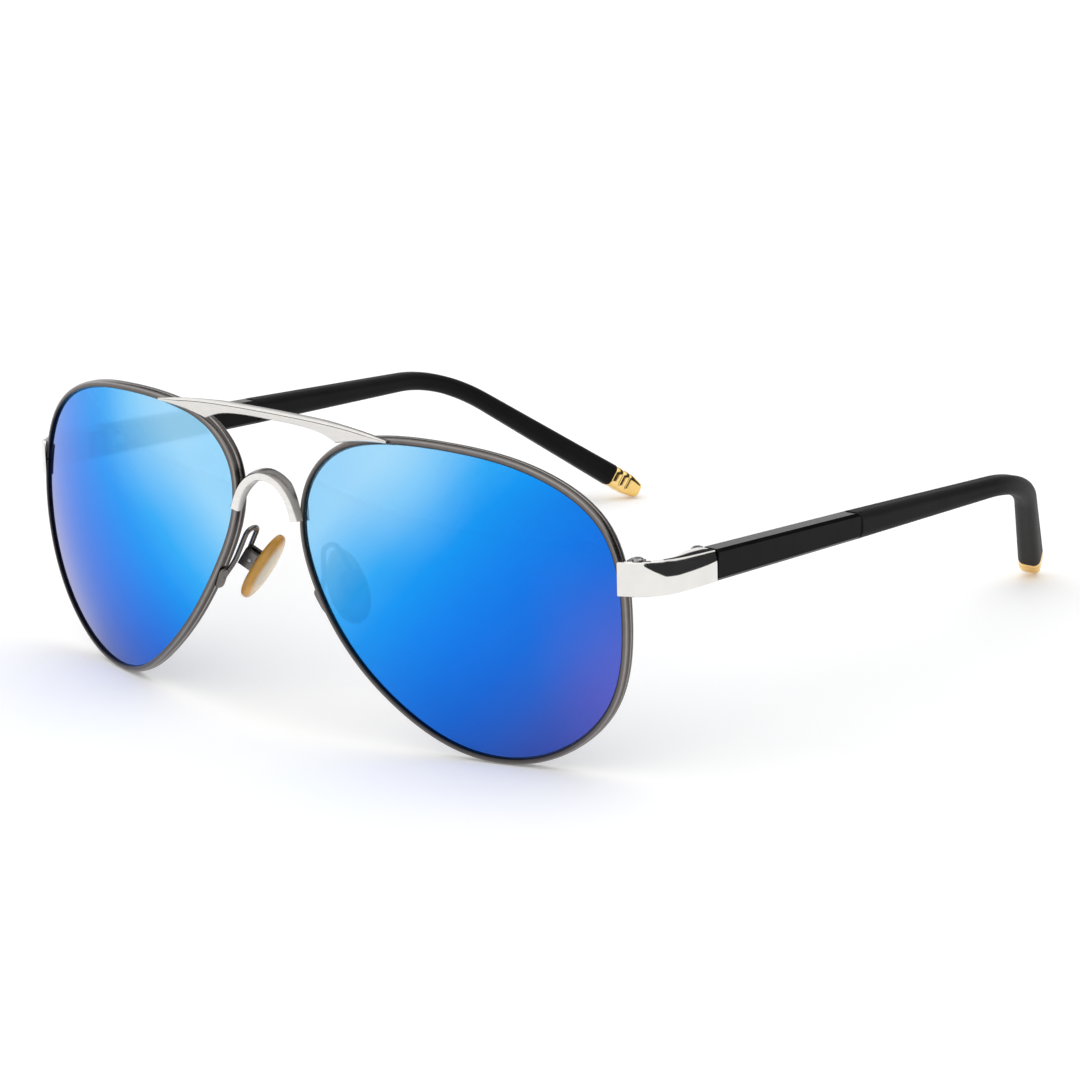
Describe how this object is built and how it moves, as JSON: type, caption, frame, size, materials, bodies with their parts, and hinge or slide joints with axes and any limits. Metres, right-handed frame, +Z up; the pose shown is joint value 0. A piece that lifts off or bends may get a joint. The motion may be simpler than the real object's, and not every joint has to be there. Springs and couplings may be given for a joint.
{
  "type": "sunglasses",
  "caption": "Metal aviator sunglasses with a brow bar, mirrored lenses, rocking nose pads, folding temples in soft sleeves and metal end caps.",
  "frame": {"origin": "middle of the footprint, on the surface that the open sunglasses stand on", "axes": "+X to the wearer's left, +Y back along the temples (the lenses face -Y), +Z up"},
  "size_m": [0.148, 0.1564, 0.0545],
  "materials": {
    "satin_silver": "satin silver plating",
    "polished_silver": "polished silver plating",
    "gunmetal": "brushed gunmetal plating",
    "blue_mirror_lens": "blue interference mirror coating",
    "small_steel": "plain small steel parts",
    "gloss_black_metal": "gloss black",
    "matt_black_rubber": "matt black",
    "gold_cap": "polished gold plating",
    "amber_pad": "clear amber silicone"
  },
  "bodies": {
    "front": {"brow_bar": "satin_silver", "nose_bridge": "satin_silver", "rim_left": "gunmetal", "rim_right": "gunmetal", "lens_left": "blue_mirror_lens", "lens_right": "blue_mirror_lens", "rim_lock_upper_left": "gunmetal", "rim_lock_upper_right": "gunmetal", "rim_lock_lower_left": "gunmetal", "rim_lock_lower_right": "gunmetal", "rim_lock_screw_left": "small_steel", "rim_lock_screw_right": "small_steel", "end_piece_left": "polished_silver", "end_piece_right": "polished_silver", "hinge_front_knuckles_left": "small_steel", "hinge_front_knuckles_right": "small_steel", "hinge_screw_left": "small_steel", "hinge_screw_right": "small_steel", "pad_arm_left": "gunmetal", "pad_arm_right": "gunmetal", "pad_box_left": "gunmetal", "pad_box_right": "gunmetal", "pad_screw_left": "small_steel", "pad_screw_right": "small_steel"},
    "temple_left": {"temple_arm_left": "gloss_black_metal", "temple_core_wire_left": "small_steel", "temple_sleeve_left": "matt_black_rubber", "tip_cap_left": "gold_cap", "hinge_temple_knuckle_left": "small_steel"},
    "temple_right": {"temple_arm_right": "gloss_black_metal", "temple_core_wire_right": "small_steel", "temple_sleeve_right": "matt_black_rubber", "tip_cap_right": "gold_cap", "hinge_temple_knuckle_right": "small_steel"},
    "nose_pad_left": {"nose_pad_left": "amber_pad", "pad_insert_left": "small_steel"},
    "nose_pad_right": {"nose_pad_right": "amber_pad", "pad_insert_right": "small_steel"}
  },
  "joints": [
    {"name": "temple_left_fold", "type": "hinge", "parent": "front", "child": "temple_left", "pos_m": [0.06975, -0.0483, 0.0337], "axis": [0, 0, 1], "range_deg": [0, 87]},
    {"name": "temple_right_fold", "type": "hinge", "parent": "front", "child": "temple_right", "pos_m": [-0.06975, -0.0483, 0.0337], "axis": [0, 0, -1], "range_deg": [0, 80]},
    {"name": "nose_pad_left_rock", "type": "hinge", "parent": "front", "child": "nose_pad_left", "pos_m": [0.01203, -0.0693, 0.0256], "axis": [-0.3995, -0.9161, -0.0351], "range_deg": [-10, 10]},
    {"name": "nose_pad_right_rock", "type": "hinge", "parent": "front", "child": "nose_pad_right", "pos_m": [-0.01203, -0.0693, 0.0256], "axis": [-0.3995, 0.9161, 0.0351], "range_deg": [-10, 10]}
  ]
}
